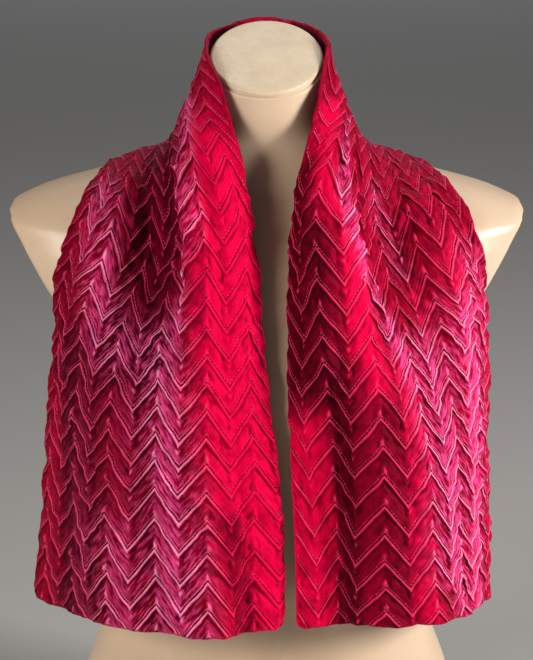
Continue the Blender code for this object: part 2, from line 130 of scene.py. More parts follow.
# one tuck from the neck side to the hem side, square to its line, in mm:
# offset, height, lean towards the hem, tone from -1 (painted shade in the seam) to 1 (painted highlight on
# the fold)
tuckProfile = (
    (-6.25, 0.50, 0.0, -0.05),
    (-4.8, 0.46, 0.0, 0.1),
    (-3.6, 0.36, 0.0, 0.2),
    (-2.6, 0.24, 0.0, -0.1),
    (-1.95, 0.30, 0.0, 0.25),
    (-1.5, 0.48, 0.1, 0.9),
    (-1.1, 0.28, 0.1, 0.0),
    (-0.75, -0.50, 0.0, -1.0),
    (-0.3, -0.55, 0.0, -1.0),
    (0.05, 0.30, -0.1, 0.2),
    (0.4, 0.95, 0.0, 1.0),
    (0.9, 1.25, 0.2, 1.0),
    (1.5, 1.15, 0.4, 0.2),
    (2.0, 0.65, 0.45, -0.4),
    (2.35, 0.0, 0.1, -1.0),
    (3.0, -0.15, -0.1, -0.75),
    (4.0, 0.12, 0.0, -0.4),
    (5.0, 0.36, 0.0, -0.2),
    (6.25, 0.50, 0.0, -0.05),
)

# small gathers at the corners of the zigzag, sizes in mm; their tones are painted highlight on the bump and
# tail and painted shade in the pulled crease
pucker = {
    "height": 2.8, "away": 5.2, "wide": 1.8, "long": 2.6, "inPoint": 2.4,
    "tail": 0.9, "tailWide": 1.1,
    "crease": 1.2, "creaseAside": 3.2, "creaseWide": 1.8, "creaseLong": 4.5,
    "paintedTones": (1.2, 0.7, 0.6),
    "seed": 4,
}
fold = {"at": 1.5, "wide": 1.2}

# where the cloth lies flatter: tucks from the centre back with the share of the height kept there,
# then the outer edge and the shoulder with the share taken off
calm = {
    "waves": ((0, 2, 3, 8.5, 11.5), (0.9, 0.7, 0.4, 0.4, 1)),
    "puckers": ((0, 2, 3.5, 7, 10.5), (0.6, 0.5, 0.3, 0.4, 1)),
    "tucks": ((0, 2, 3.5, 7.0, 10.5), (0.8, 0.7, 0.45, 0.5, 1.0)),
    "outerEdge": {"from": 8.5, "over": 2.0, "less": 0.5},
    "shoulder": {"tuck": 7.5, "spread": 2.6, "from": 4.0, "less": 0.5},
}

# loose unevenness of the cloth: wave size and height in mm
unevenness = ((34.0, 0.9), (13.0, 0.5), (6.0, 0.2))

# creases, listed one by one: side, height, width, path as (tuck, half periods from the inner edge); sizes in
# mm
creases = (
    (-1, -3.4, 5.5, ((8.5, 4.5), (11.5, 4.6), (15.8, 4.5))),
    (-1, 2.6, 8, ((9.5, 3.8), (14.0, 3.7), (18.2, 4.1), (21.9, 3.4), (26.5, 2.9))),
    (-1, -2.2, 12, ((16.5, 6.2), (21.0, 5.6), (26.5, 5.2))),
    (-1, -2.6, 10, ((11.5, 7.0), (15.0, 8.4), (18.0, 8.9))),
    (-1, 2.2, 9, ((10.0, 8.5), (14.5, 10.0))),
    (-1, 1.8, 11, ((19.5, 7.3), (24.8, 7.9))),
    (-1, -1.7, 9, ((20.0, 9.4), (26.5, 9.7))),
    (-1, -1.6, 7, ((10.5, 2.5), (16.0, 2.2))),
    (-1, -2.0, 8, ((23.0, 1.4), (26.5, 1.9))),
    (1, 2.6, 5, ((9.0, 3.0), (12.0, 3.8), (14.4, 4.8), (16.4, 5.8))),
    (1, -2.8, 9, ((16.0, 2.6), (20.0, 2.5), (26.5, 2.6))),
    (1, 2.0, 8, ((17.5, 0.9), (26.5, 1.0))),
    (1, 2.4, 12, ((18.0, 4.9), (26.5, 5.0))),
    (1, -2.4, 9, ((11.5, 6.8), (14.5, 7.6), (18.0, 7.6))),
    (1, 2.0, 9, ((11.0, 8.6), (16.0, 9.4))),
    (1, -1.8, 8, ((19.0, 8.2), (25.5, 8.1))),
    (1, -1.4, 7, ((10.5, 2.3), (15.0, 2.0))),
    (-1, 1.8, 9, ((0.8, 4.6), (4.7, 5.4))),
    (-1, -1.8, 12, ((0.4, 7.8), (3.8, 8.6))),
    (1, 1.6, 8, ((0.5, 4.4), (4.2, 5.2))),
    (1, -2.0, 11, ((1.0, 8.0), (4.4, 8.8))),
)

# painted light and shade on the pile, laid out the same way: side, value above 0 painted light and below 0
# painted shade, width, path
paintedLightPatches = (
    (-1, 1.1, 34, ((8.5, 1.7), (11.5, 2.1), (14.5, 2.2), (18.0, 2.1), (21.5, 1.5), (26.5, 1.0))),
    (-1, -1.6, 34, ((8.5, 6.2), (11.0, 6.6), (13.5, 6.3), (16.0, 6.0))),
    (-1, -0.3, 26, ((17.0, 6.0), (26.5, 5.4))),
    (-1, -1.0, 34, ((17.5, 9.0), (22.0, 8.8), (26.0, 9.0))),
    (-1, -0.6, 20, ((14.0, 11.0), (18.0, 10.4))),
    (-1, -0.9, 15, ((22.5, 2.4), (26.5, 1.7))),
    (1, -1.1, 21, ((10.5, 0.4), (13.0, 0.7), (18.0, 0.8))),
    (1, 1.2, 13, ((6.5, 0.9), (8.5, 1.3), (10.0, 1.9), (11.4, 2.7))),
    (1, -0.8, 17, ((12.3, 1.7), (14.0, 1.6), (17.0, 1.6))),
    (1, 1.1, 15, ((12.8, 3.6), (15.5, 3.9), (17.5, 4.6))),
    (1, 1.3, 23, ((19.0, 0.9), (26.5, 0.8))),
    (1, -1.0, 15, ((17.5, 2.6), (20.0, 2.6), (26.5, 2.8))),
    (1, -0.35, 22, ((18.0, 4.6), (26.5, 4.8))),
    (1, 0.6, 15, ((17.0, 6.0), (26.5, 6.1))),
    (1, 0.1, 36, ((9.5, 7.0), (13.5, 8.2))),
    (1, 0.4, 30, ((14.0, 10.0), (26.5, 9.4))),
)

# painted highlights where the pile shines: side, value above 0 for painted pink highlights, width, path
shinePatches = (
    (-1, 1.0, 22, ((16.3, 5.2), (18.5, 5.0), (22.0, 4.7), (26.5, 4.4))),
    (-1, 0.6, 24, ((23.5, 6.8), (26.5, 6.6))),
    (-1, 0.1, 40, ((17.0, 8.8), (21.0, 8.6), (26.5, 8.6))),
    (-1, 1.1, 17, ((6.5, 2.8), (9.0, 3.6), (12.0, 3.6))),
    (-1, 0.9, 8, ((12.0, 4.1), (15.5, 4.2))),
    (-1, 0.9, 19, ((10.8, 10.4), (13.5, 9.2), (16.5, 7.5))),
    (-1, -0.8, 30, ((10.5, 1.2), (26.5, 0.6))),
    (1, 1.4, 8, ((7.5, 2.9), (10.5, 3.1), (12.3, 3.9), (14.4, 4.8), (16.4, 5.8), (18.0, 6.7))),
    (1, 1.4, 16, ((16.5, 6.9), (18.5, 7.0), (21.0, 7.2), (24.5, 7.2))),
    (1, 1.2, 27, ((16.0, 9.6), (20.0, 9.6), (26.5, 9.0))),
    (1, 0.8, 18, ((13.5, 10.8), (16.0, 10.6))),
    (1, 0.5, 12, ((10.5, 6.2), (13.5, 7.0))),
    (-1, 0.7, 40, ((0.5, 7.0), (5.0, 7.4))),
    (1, 0.6, 40, ((0.5, 7.2), (5.0, 7.2))),
)

# how the sewn pattern wanders on each front: where its corners move across the strip, in mm
# towards the outer edge, and how far its tucks move towards the hem, in tucks
cornerShift = {
    "places": (0, 1.1, 2.1, 3.1, 4.1, 5.1, 6.1, 7.1, 8.1),
    "right": (
        (7, 0, 0, 0, 0, 0, 0, 0, 0, 0),
        (12, 0, 0, 0, -5, -1, 0, 0, 0, 0),
        (15, 0, 0, 0, -4, -1, 0, 0, 0, 0),
        (17.5, 0, 0, 0, 0, 0, 0, 0, 0, 0),
        (20, 1, 1.5, 3, 4, 4, 4, 2, 0, 0),
        (23, 3, 5.5, 7, 7.5, 7, 5.5, 3, 0, 0),
        (26.5, 4, 8, 10, 12, 11, 7, 4, 0, 0),
    ),
    "left": (
        (7, 0, 0, 0, 0, 0, 0, 0, 0, 0),
        (11, 0, -2, -3.5, 0, 0, 0, 0, 0, 0),
        (15, 0, -2, -3.5, 0, 0, 0, 0, 0, 0),
        (18, -2, -5, 0, 0, 4, 7, 9, 3, 0),
        (20, -2, -6, 0, 0, 5, 6, 8, 3, 0),
        (23, 0, -3, 0, 0, 4, 5, 7, 2, 0),
        (26.5, 0, 0, 0, 0, 4, 5, 6, 2, 0),
    ),
}
tuckShift = {
    "right": ((0, 0), (17, 0), (19, -0.1), (21, -0.25), (22.5, -0.2), (24, 0), (28.5, 0)),
    "left": ((0, 0), (6, 0), (11, 0.33), (15, 0.28), (18, 0.15), (20, 0.22), (23, 0.38), (28.5, 0.4)),
}


def betweenRows(knots, values, at):
    slopes = np.gradient(values, knots, axis=0)
    row = np.clip(np.searchsorted(knots, at, side="right") - 1, 0, len(knots) - 2)
    span = (knots[row + 1] - knots[row])[:, None]
    t = (at - knots[row])[:, None] / span
    rise = 3 * t**2 - 2 * t**3
    straight = (1 - rise) * values[row] + rise * values[row + 1]
    return straight + (t**3 - 2 * t**2 + t) * span * slopes[row] + (t**3 - t**2) * span * slopes[row + 1]


def unit(vectors):
    return vectors / np.linalg.norm(vectors, axis=-1, keepdims=True)


def softLimit(value, limit, softness):
    # value, eased into limit over softness on both sides of it
    eased = limit - (limit + softness - value)**2 / (4 * softness)
    return np.where(value < limit - softness, value, np.where(value > limit + softness, limit, eased))


def addObject(name, data):
    added = bpy.data.objects.new(name, data)
    bpy.context.scene.collection.objects.link(added)
    return added


def makeObject(name, points, faces, material):
    mesh = bpy.data.meshes.new(name)
    mesh.from_pydata([tuple(p) for p in points], [], [tuple(f) for f in faces])
    mesh.materials.append(material)
    mesh.polygons.foreach_set("use_smooth", [True] * len(mesh.polygons))
    mesh.update()
    return addObject(name, mesh)


def closeNormals(piece):
    shape = bmesh.new()
    shape.from_mesh(piece.data)
    bmesh.ops.remove_doubles(shape, verts=shape.verts, dist=0.00002)
    bmesh.ops.recalc_face_normals(shape, faces=shape.faces)
    shape.to_mesh(piece.data)
    shape.free()


def formRings(shape, cut):
    table = np.array(shape["rings"], float)
    heights = np.arange(0, table[-1, 0] + 0.1, shape["ringStep"])
    rows = betweenRows(table[:, 0], table[:, 1:], heights)
    angles = np.linspace(0, 2 * np.pi, shape["segments"], endpoint=False)
    power = 2 / shape["squareness"]
    c = np.sign(np.cos(angles)) * np.abs(np.cos(angles)) ** power
    s = np.sign(np.sin(angles)) * np.abs(np.sin(angles)) ** power
    x = rows[:, 0:1] * c[None, :]
    y = (rows[:, 1:2] + rows[:, 2:3]) / 2 + (rows[:, 2:3] - rows[:, 1:2]) / 2 * s[None, :]
    z = np.repeat(heights[:, None], len(angles), axis=1)
    chest = shape["chest"]
    side = (np.abs(x) - chest["x"]) / chest["spreadX"]
    level = (z - chest["z"]) / chest["spreadZ"]
    y = y - chest["rise"] * np.clip(-s, 0, 1)[None, :] * np.exp(-side**2 - level**2)
    if cut:
        arm = shape["armCut"]
        limit = arm["x"] + np.maximum(z - arm["z"], 0) * np.tan(np.radians(arm["slope"]))
        width = np.where(z > arm["z"], softLimit(np.abs(x), limit, arm["softness"]), np.abs(x))
        x = np.sign(x) * np.minimum(width, np.abs(x))
        neck = shape["neckCut"]
        top = neck["z"] + y * np.tan(np.radians(neck["tilt"]))
        part = np.clip((z - neck["from"]) / (table[-1, 0] - neck["from"]), 0, 1)
        z = np.where(z > neck["from"], neck["from"] + part * (top - neck["from"]), z)
    return np.stack([x, y, z], axis=2) * mm


def loftFaces(rings, segments):
    faces = []
    for i in range(rings - 1):
        for j in range(segments):
            a = i * segments + j
            b = i * segments + (j + 1) % segments
            faces.append((a, b, b + segments, a + segments))
    return faces


def closedLoft(name, rings, material):
    # smooth closed piece through its rings, both ends filled
    count, segments = rings.shape[:2]
    faces = loftFaces(count, segments)
    last = (count - 1) * segments
    faces += [tuple(range(segments))[::-1], tuple(range(last, last + segments))]
    piece = makeObject(name, rings.reshape(-1, 3), faces, material)
    closeNormals(piece)
    return piece


def makeTorso(shape, material):
    rings = formRings(shape, True)
    radius = shape["footRadius"] * mm
    foot = []
    for angle in np.linspace(0, 90, 6)[:-1]:
        ring = rings[0].copy()
        inset = radius * (1 - np.sin(np.radians(angle)))
        size = np.linalg.norm(ring[:, :2], axis=1, keepdims=True)
        ring[:, :2] *= (size - inset) / size
        ring[:, 2] = radius * (1 - np.cos(np.radians(angle)))
        foot.append(ring)
    return closedLoft("formTorso", np.concatenate([np.array(foot), rings[2:]]), material)


cap = {
    "halfWidth": 41.5, "halfDepth": 45.5, "thick": 4.5,
    "rim": 2.2, "dome": 1.6, "gap": 0.3, "segments": 96,
}


def makeCap(spec, neck, material):
    # profile: how far in from the rim, and height, in mm
    rim, thick = spec["rim"], spec["thick"]
    profile = [(0.3, 0.0), (0.05, 0.06), (0.0, 0.2)]
    for angle in np.linspace(0, 90, 7):
        a = np.radians(angle)
        profile.append((rim * (1 - np.cos(a)), thick - rim + rim * np.sin(a)))
    for share in (0.85, 0.65, 0.45, 0.25, 0.1):
        inset = rim + (spec["halfWidth"] - rim) * (1 - share)
        profile.append((inset, thick + spec["dome"] * (1 - share**2)))
    tilt = np.radians(neck["tilt"])
    angles = np.linspace(0, 2 * np.pi, spec["segments"], endpoint=False)
    up = np.array((0, -np.sin(tilt), np.cos(tilt)))
    back = np.array((0, np.cos(tilt), np.sin(tilt)))
    rings = []
    for inset, height in profile:
        share = 1 - inset / spec["halfWidth"]
        x = spec["halfWidth"] * share * np.cos(angles)
        y = spec["halfDepth"] / np.cos(tilt) * share * np.sin(angles)
        ring = x[:, None] * np.array((1, 0, 0)) + y[:, None] * back + up * (height + spec["gap"])
        rings.append((ring + np.array((0, 0, neck["z"]))) * mm)
    return closedLoft("formNeckCap", np.array(rings), material)


def zigzag(place):
    return 2 * np.abs((place - strip["zigzagStart"]) % 2 - 1) - 1


def stripSections():
    def row(section, side, mirrored):
        tuck, inner, lip, tread, outer, roll, under, bow = section
        flip = np.array((side if mirrored else 1, 1, 1))
        spots = [np.array(spot) * flip for spot in (inner, lip, tread, outer)]
        return [side * tuck * pitch] + [n for spot in spots for n in spot] + [roll, under, bow]

    run = [row(section, -1, False) for section in reversed(rightSections)]
    run += [row(section, -1, True) for section in reversed(backSections[1:])]
    run += [row(section, 1, True) for section in backSections]
    run += [row(section, 1, False) for section in leftSections]
    return np.array(run, float)


def acrossSection(stops, places):
    gaps = np.linalg.norm(np.diff(stops, axis=0), axis=1)
    knots = np.concatenate([[0], np.cumsum(np.sqrt(gaps))])
    at = np.linspace(0, knots[-1], 384)
    line = betweenRows(knots, stops, at)
    run = np.concatenate([[0], np.cumsum(np.linalg.norm(np.diff(line, axis=0), axis=1))])
    marks = np.interp(knots[[0, 2, 4, 6]], at, run)
    wanted = np.interp(places, (0, strip["lipAt"], strip["treadAt"], places[-1]), marks)
    return np.stack([np.interp(wanted, run, line[:, axis]) for axis in range(3)], axis=1)


def blurred(field):
    wide = np.pad(field, ((1, 1), (1, 1), (0, 0)), mode="edge")
    field = wide[:, 1:-1] / 2 + (wide[:, 2:] + wide[:, :-2]) / 4
    return field[1:-1] / 2 + (field[2:] + field[:-2]) / 4


def liftOff(grid, form, gap):
    for turn in range(8):
        push = np.zeros_like(grid)
        for i in range(grid.shape[0]):
            for j in range(grid.shape[1]):
                point = Vector(grid[i, j] * mm)
                spot, normal, face, distance = form.find_nearest(point)
                short = gap * mm - (point - spot).dot(normal)
                if short > 0:
                    push[i, j] = np.array(normal) * short / mm
        for spread in range(6):
            push = blurred(push)
        grid = grid + push
    return grid


def drapedSurface(form):
    table = stripSections()
    along = np.arange(-strip["tucksPerSide"], strip["tucksPerSide"] + 0.1, 0.25) * pitch
    rows = betweenRows(table[:, 0], table[:, 1:], along)
    inner, lip, tread, outer = rows[:, 0:3], rows[:, 3:6], rows[:, 6:9], rows[:, 9:12]
    roll, under, bow = rows[:, 12:13], rows[:, 13:14], rows[:, 14:15]
    rollMiddle = (inner + lip) / 2
    bowMiddle = (tread + outer) / 2
    rollOut = unit(np.cross(np.gradient(rollMiddle, axis=0), lip - inner))
    bowOut = unit(np.cross(np.gradient(bowMiddle, axis=0), outer - tread))
    hidden = (lip + tread) / 2 - unit(outer - inner) * under
    stops = np.stack([inner, rollMiddle + rollOut * roll, lip, hidden, tread,
                      bowMiddle + bowOut * bow, outer], axis=1)
    places = np.linspace(0, strip["width"] / halfPeriod, 96)
    grid = np.array([acrossSection(section, places) for section in stops])
    for turn in range(10):
        grid[:, 1:-1] = grid[:, 1:-1] / 2 + (grid[:, :-2] + grid[:, 2:]) / 4
    grid = liftOff(grid, form, strip["restGap"])
    outward = unit(np.cross(np.gradient(grid, axis=0), np.gradient(grid, axis=1)))
    spread = np.linalg.norm(np.gradient(grid, along, axis=0), axis=2)[:, :, None]
    return {"along": along, "places": places, "grid": padded(grid), "outward": padded(outward),
            "spread": padded(spread)}


def padded(field):
    # two more rows and columns on each side, carried on straight
    for axis in (0, 1):
        for turn in range(2):
            first = np.take(field, [0], axis) * 2 - np.take(field, [1], axis)
            last = np.take(field, [-1], axis) * 2 - np.take(field, [-2], axis)
            field = np.concatenate([first, field, last], axis)
    return field


def splineWeights(t):
    return (-0.5 * t + t**2 - 0.5 * t**3, 1 - 2.5 * t**2 + 1.5 * t**3,
            0.5 * t + 2 * t**2 - 1.5 * t**3, -0.5 * t**2 + 0.5 * t**3)


def gridSpot(surface, dist, across):
    along, places = surface["along"], surface["places"]
    i = (dist - along[0]) / (along[1] - along[0]) + 2
    j = across / halfPeriod / (places[1] - places[0]) + 2
    i = np.clip(i, 1, len(along) + 1.999)
    j = np.clip(j, 1, len(places) + 1.999)
    return i.astype(int), j.astype(int), i % 1, j % 1


def crowding(surface, dist, across):
    # share of its flat length that the cloth keeps along the strip
    i, j, u, v = gridSpot(surface, dist, across)
    field = surface["spread"][:, :, 0]
    low = field[i, j] * (1 - v) + field[i, j + 1] * v
    high = field[i + 1, j] * (1 - v) + field[i + 1, j + 1] * v
    return np.clip(low * (1 - u) + high * u, 0.3, 1.1)


def onSurface(surface, dist, across, lift):
    # points above the cloth's back, all in mm
    i0, j0, u, v = gridSpot(surface, dist, across)
    wi, wj = splineWeights(u), splineWeights(v)
    point = np.zeros((len(dist), 3))
    normal = np.zeros((len(dist), 3))
    for a in range(4):
        for b in range(4):
            weight = (wi[a] * wj[b])[:, None]
            point += surface["grid"][i0 + a - 1, j0 + b - 1] * weight
            normal += surface["outward"][i0 + a - 1, j0 + b - 1] * weight
    normal = unit(normal)
    return (point + normal * lift[:, None]) * mm, normal


# relief of the tucked velvet
slant = np.sqrt(1 + (strip["zigzagHeight"] / halfPeriod)**2)
noise = np.random.default_rng(pucker["seed"])
cornerCount = int(strip["width"] / halfPeriod) + 3
tuckCount = int(strip["tucksPerSide"]) * 2 + 4
puckerSize = noise.uniform(0.45, 1.2, (tuckCount, cornerCount))
puckerShift = noise.uniform(-1.1, 1.1, (tuckCount, cornerCount, 2))
tuckSize = noise.uniform(0.86, 1.12, (tuckCount, cornerCount))
waveSets = []
for size, height in unevenness:
    angle = noise.uniform(0, 2 * np.pi, 18)
    length = size * noise.uniform(0.75, 1.4, 18)
    waveSets.append((2 * np.pi * np.cos(angle) / length, 2 * np.pi * np.sin(angle) / length,
                     noise.uniform(0, 2 * np.pi, 18), height / 3))


def waves(dist, across):
    total = np.zeros(len(dist))
    for kx, ky, phase, height in waveSets:
        for n in range(len(kx)):
            total += height * np.sin(kx[n] * dist + ky[n] * across + phase[n])
    return total


def nearPath(path, side, dist, across):
    spots = [(side * tuck * pitch, place * halfPeriod) for tuck, place in path]
    best = np.full(len(dist), 1e9)
    for (d0, a0), (d1, a1) in zip(spots[:-1], spots[1:]):
        span = (d1 - d0)**2 + (a1 - a0)**2
        t = np.clip(((dist - d0) * (d1 - d0) + (across - a0) * (a1 - a0)) / span, 0, 1)
        best = np.minimum(best, np.hypot(dist - d0 - t * (d1 - d0), across - a0 - t * (a1 - a0)))
    return best


def addAlong(total, rows, dist, across):
    for side, amount, width, path in rows:
        total = total + amount * np.exp(-(nearPath(path, side, dist, across) / width)**2)
    return total


def foldHeight(dist, across):
    # the listed creases and the loose unevenness, in mm
    loose = waves(dist, across) * np.interp(np.abs(dist) / pitch, *calm["waves"])
    return addAlong(loose, creases, dist, across)


def painted(patches, dist, across):
    return np.clip(addAlong(np.zeros(len(dist)), patches, dist, across), -1, 1)


def wander(dist, across):
    # how far the pattern's corners move across, in mm
    places = np.array(cornerShift["places"])
    total = np.zeros(dist.shape)
    at = np.clip(across / halfPeriod, places[0], places[-1])
    column = np.clip(np.searchsorted(places, at, side="right") - 1, 0, len(places) - 2)
    share = (at - places[column]) / (places[column + 1] - places[column])
    for side, name in ((-1, "right"), (1, "left")):
        table = np.array(cornerShift[name])
        tuck = np.abs(dist) / pitch
        moves = np.array([np.interp(tuck, table[:, 0], table[:, 1 + n]) for n in range(len(places))])
        low = np.take_along_axis(moves, column[None], 0)[0]
        high = np.take_along_axis(moves, column[None] + 1, 0)[0]
        total = np.where(np.sign(dist) == side, low * (1 - share) + high * share, total)
    return total


def tuckLine(tuck):
    # where a tuck, or a place between two, lies along the strip at the zigzag's middle
    shift = np.where(tuck < 0, np.interp(-tuck, *np.array(tuckShift["right"]).T),
                     np.interp(tuck, *np.array(tuckShift["left"]).T))
    return (tuck + shift * np.sign(tuck)) * pitch


def patternSpots(line, column):
    # spots on one line of the zigzag, for columns which keep to its corners away from the edges
    away = np.minimum(column, strip["width"] - column)
    share = np.clip((away - strip["edgeBand"]) / strip["settle"], 0, 1)
    dist, across = line + 0 * column, column + 0 * line
    for turn in range(8):
        shift = wander(dist, across)
        across = column + share * shift
        dist = line - zigzag((across - shift) / halfPeriod) * strip["zigzagHeight"] / 2
    return dist, across


def tuckPlace(dist, across):
    # which tuck a spot is in, its offset square to the tuck's line, the hem's side, the zigzag's place
    place = (across - wander(dist, across)) / halfPeriod
    line = dist + zigzag(place) * strip["zigzagHeight"] / 2
    numbers = np.arange(-strip["tucksPerSide"] - 2, strip["tucksPerSide"] + 2.1, 0.5)
    tuck = np.round(np.interp(line, tuckLine(numbers), numbers))
    side = np.where(tuck >= 0, 1, -1)
    return tuck, (line - tuckLine(tuck)) * side / slant, side, place


def facet(dist, across):
    # 1 on the runs of the zigzag turned to the light, -1 on the others
    tuck, offset, side, place = tuckPlace(dist, across)
    at = (place - strip["zigzagStart"]) % 2
    away = np.minimum(np.minimum(at, 2 - at), np.abs(at - 1))
    return np.where(at < 1, -1, 1) * side * np.clip(away / 0.08, 0, 1)


def relief(dist, across):
    # height, lean and tone of the tucked velvet, the tone being painted highlight and shade
    tuck, offset, side, place = tuckPlace(dist, across)
    table = np.array(tuckProfile)
    height, lean, tone = (np.interp(offset, table[:, 0], table[:, n]) for n in (1, 2, 3))
    lean = lean * slant * side
    place = place - strip["zigzagStart"]
    corner = np.round(place)
    beside = (place - corner) * halfPeriod
    k = (tuck + tuckCount // 2).astype(int)
    c = np.clip(corner + 1, 0, cornerCount - 1).astype(int)
    folded = np.exp(-((offset - fold["at"]) / fold["wide"])**2)
    height = height * (1 + folded * (tuckSize[k, c] - 1))

    down = offset * slant
    apex = np.where(zigzag(corner + strip["zigzagStart"]) * side > 0, 1, -1)
    tucks = np.abs(dist) / pitch
    size = puckerSize[k, c] * np.interp(tucks, *calm["puckers"])
    aside, lower = puckerShift[k, c, 0], puckerShift[k, c, 1]
    top = -apex * pucker["away"] + lower + np.where(apex < 0, pucker["inPoint"], 0)
    bump = np.exp(-((beside - aside) / pucker["wide"])**2 - ((down - top) / pucker["long"])**2)
    part = down / top
    tail = np.exp(-((beside - aside * part) / pucker["tailWide"])**2)
    tail = tail * np.clip(part * 4, 0, 1) * np.clip(4.6 - part * 4, 0, 1)
    beyond = beside - aside + pucker["creaseAside"] * np.sign(aside)
    pulled = np.exp(-(beyond / pucker["creaseWide"])**2 - ((down - top * 1.5) / pucker["creaseLong"])**2)
    height = height + size * (pucker["height"] * bump + pucker["tail"] * tail - pucker["crease"] * pulled)
    # painted highlight on the gathers and painted shade in the creases they pull
    onBump, onTail, onPulled = pucker["paintedTones"]
    tone = tone + size * (onBump * bump + onTail * tail - onPulled * pulled)

    edge, shoulder = calm["outerEdge"], calm["shoulder"]
    flat = 1 - edge["less"] * np.clip((across / halfPeriod - edge["from"]) / edge["over"], 0, 1)
    flat = flat * np.interp(tucks, *calm["tucks"])
    near = np.exp(-((tucks - shoulder["tuck"]) / shoulder["spread"])**2)
    near = near * np.clip(across / halfPeriod - shoulder["from"], 0, 1)
    flat = flat * (1 - shoulder["less"] * near)
    return height * flat, lean, np.clip(tone, -1, 1)


def curled(q):
    # round turn at an edge: distance in from the edge and share of the full height, for flat distance q
    r = strip["curl"]
    turn = (r - q) / r
    bend = np.clip(turn, 0, np.pi)
    inward = np.where(turn < np.pi, r - r * np.sin(bend), r + (turn - np.pi) * r)
    inward = np.where(turn < 0, q, inward)
    share = np.where(turn < 0, 1, (1 + np.cos(bend)) / 2)
    return inward, share


def roundedCorner(fromSide, fromHem):
    # distances in from the two edges, with the square corner pulled onto a round one
    r = strip["cornerRadius"]
    u, v = np.clip(r - fromSide, 0, r), np.clip(r - fromHem, 0, r)
    return (fromSide + u * (1 - np.sqrt(1 - v**2 / (2 * r**2))),
            fromHem + v * (1 - np.sqrt(1 - u**2 / (2 * r**2))))


def flatMesh(firstLine, lastLine, rowOffsets, columnStep, margin, hemCuts):
    # flat mesh of one stretch in (distance, across), its rows along the tucks and its hem cut straight
    width = strip["width"]
    lines = []
    for tuck in range(-int(strip["tucksPerSide"]) - 2, int(strip["tucksPerSide"]) + 3):
        side = 1 if tuck >= 0 else -1
        lines += [float(tuckLine(np.array(tuck))) + side * offset * slant for offset in rowOffsets]
    lines = np.array(sorted(lines))
    gap = strip["rowGap"]
    lines = lines[np.concatenate([[True], np.diff(lines) > gap])]
    inside = lines[(lines > firstLine + gap) & (lines < lastLine - gap)]
    lines = np.concatenate([[firstLine], inside, [lastLine]])
    start = strip["zigzagStart"] * halfPeriod
    columns = list(np.arange(start, width - 1.0, columnStep))
    turned = np.arange(-margin, 0.1, strip["edgeStep"])
    edge = list(np.unique(np.concatenate([turned, (-margin, *strip["edgeColumns"])])))
    band = strip["edgeBand"]
    middle = [c for c in columns if band < c < width - band]
    columns = np.array(sorted(edge + middle + [width - c for c in edge]))
    dist, across = patternSpots(lines[:, None], columns[None, :])
    points = np.stack([dist.ravel(), across.ravel(), np.zeros(dist.size)], axis=1)
    rows, wide = dist.shape
    index = np.arange(rows * wide).reshape(rows, wide)
    quads = np.stack([index[:-1, :-1], index[:-1, 1:], index[1:, 1:], index[1:, :-1]], axis=2).reshape(-1, 4)
    limit = halfLength + margin + strip["spare"]
    keep = np.abs(points[quads, 0]).min(axis=1) < limit
    mesh = bpy.data.meshes.new("flat")
    mesh.from_pydata(points.tolist(), [], quads[keep].tolist())
    shape = bmesh.new()
    shape.from_mesh(mesh)
    bpy.data.meshes.remove(mesh)
    for side in (-1, 1):
        for cut in hemCuts:
            spot = (side * (halfLength - cut), 0, 0)
            bmesh.ops.bisect_plane(shape, geom=shape.verts[:] + shape.edges[:] + shape.faces[:], dist=0.02,
                                   plane_co=spot, plane_no=(side, 0, 0), clear_outer=cut == min(hemCuts))
    loose = [v for v in shape.verts if not v.link_faces]
    bmesh.ops.delete(shape, geom=loose, context="VERTS")
    return shape


def onCloth(surface, dist, across, tucked, lower):
    # where flat spots go on the draped cloth, with the tone of painted highlight and shade
    width = strip["width"]
    fromSide, sideShare = curled(np.minimum(across, width - across))
    fromHem, hemShare = curled(halfLength - np.abs(dist))
    fromSide, fromHem = roundedCorner(fromSide, fromHem)
    across = np.where(across < width / 2, fromSide, width - fromSide)
    dist = np.sign(dist) * (halfLength - fromHem)
    share = sideShare * hemShare
    if not tucked:
        return onSurface(surface, dist, across, lower + foldHeight(dist, across))
    height, lean, tone = relief(dist, across)
    height = height * crowding(surface, dist, across)**2
    fade = np.clip((np.minimum(fromSide, fromHem) - 0.4) / 3.0, 0, 1) * (share > 0.98)
    fade = fade * fade * (3 - 2 * fade)
    lift = strip["wallTop"] * share + height * fade + foldHeight(dist, across)
    points, normals = onSurface(surface, dist + lean * fade, across, lift)
    return points, normals, tone * fade


def finishCloth(name, shape, surface, material, tucked, lower):
    flat = np.array([v.co[:] for v in shape.verts])
    dist, across = flat[:, 0], flat[:, 1]
    result = onCloth(surface, dist, across, tucked, lower)
    points = result[0]
    for vert, point in zip(shape.verts, points):
        vert.co = point
    # two maps in tenths of a metre: along the strip, and along its tucks
    place = (across - wander(dist, across)) / halfPeriod
    row = dist + zigzag(place) * strip["zigzagHeight"] / 2
    maps = {"strip": (across / 100, dist / 100), "rows": (across / 100, row / 100)}
    shape.verts.index_update()
    for title, (u, v) in maps.items():
        uv = shape.loops.layers.uv.new(title)
        for face in shape.faces:
            for loop in face.loops:
                loop[uv].uv = (u[loop.vert.index], v[loop.vert.index])
    shape.normal_update()
    normals = result[1]
    facing = sum(face.normal.dot(Vector(normals[face.verts[0].index])) for face in shape.faces)
    if facing < 0:
        bmesh.ops.reverse_faces(shape, faces=shape.faces)
    mesh = bpy.data.meshes.new(name)
    shape.to_mesh(mesh)
    shape.free()
    mesh.materials.append(material)
    mesh.polygons.foreach_set("use_smooth", [True] * len(mesh.polygons))
    if tucked:
        tone = mesh.attributes.new("tone", "FLOAT", "POINT")
        tone.data.foreach_set("value", result[2])
        # painted light and shade, painted highlights and the facets turned to the light, kept on the points
        # for the velvet's colour
        layers = {"nap": painted(paintedLightPatches, dist, across), "shine": painted(shinePatches, dist, across),
                  "facet": facet(dist, across)}
        for title, values in layers.items():
            mesh.attributes.new(title, "FLOAT", "POINT").data.foreach_set("value", values)
    mesh.update()
    return addObject(name, mesh)


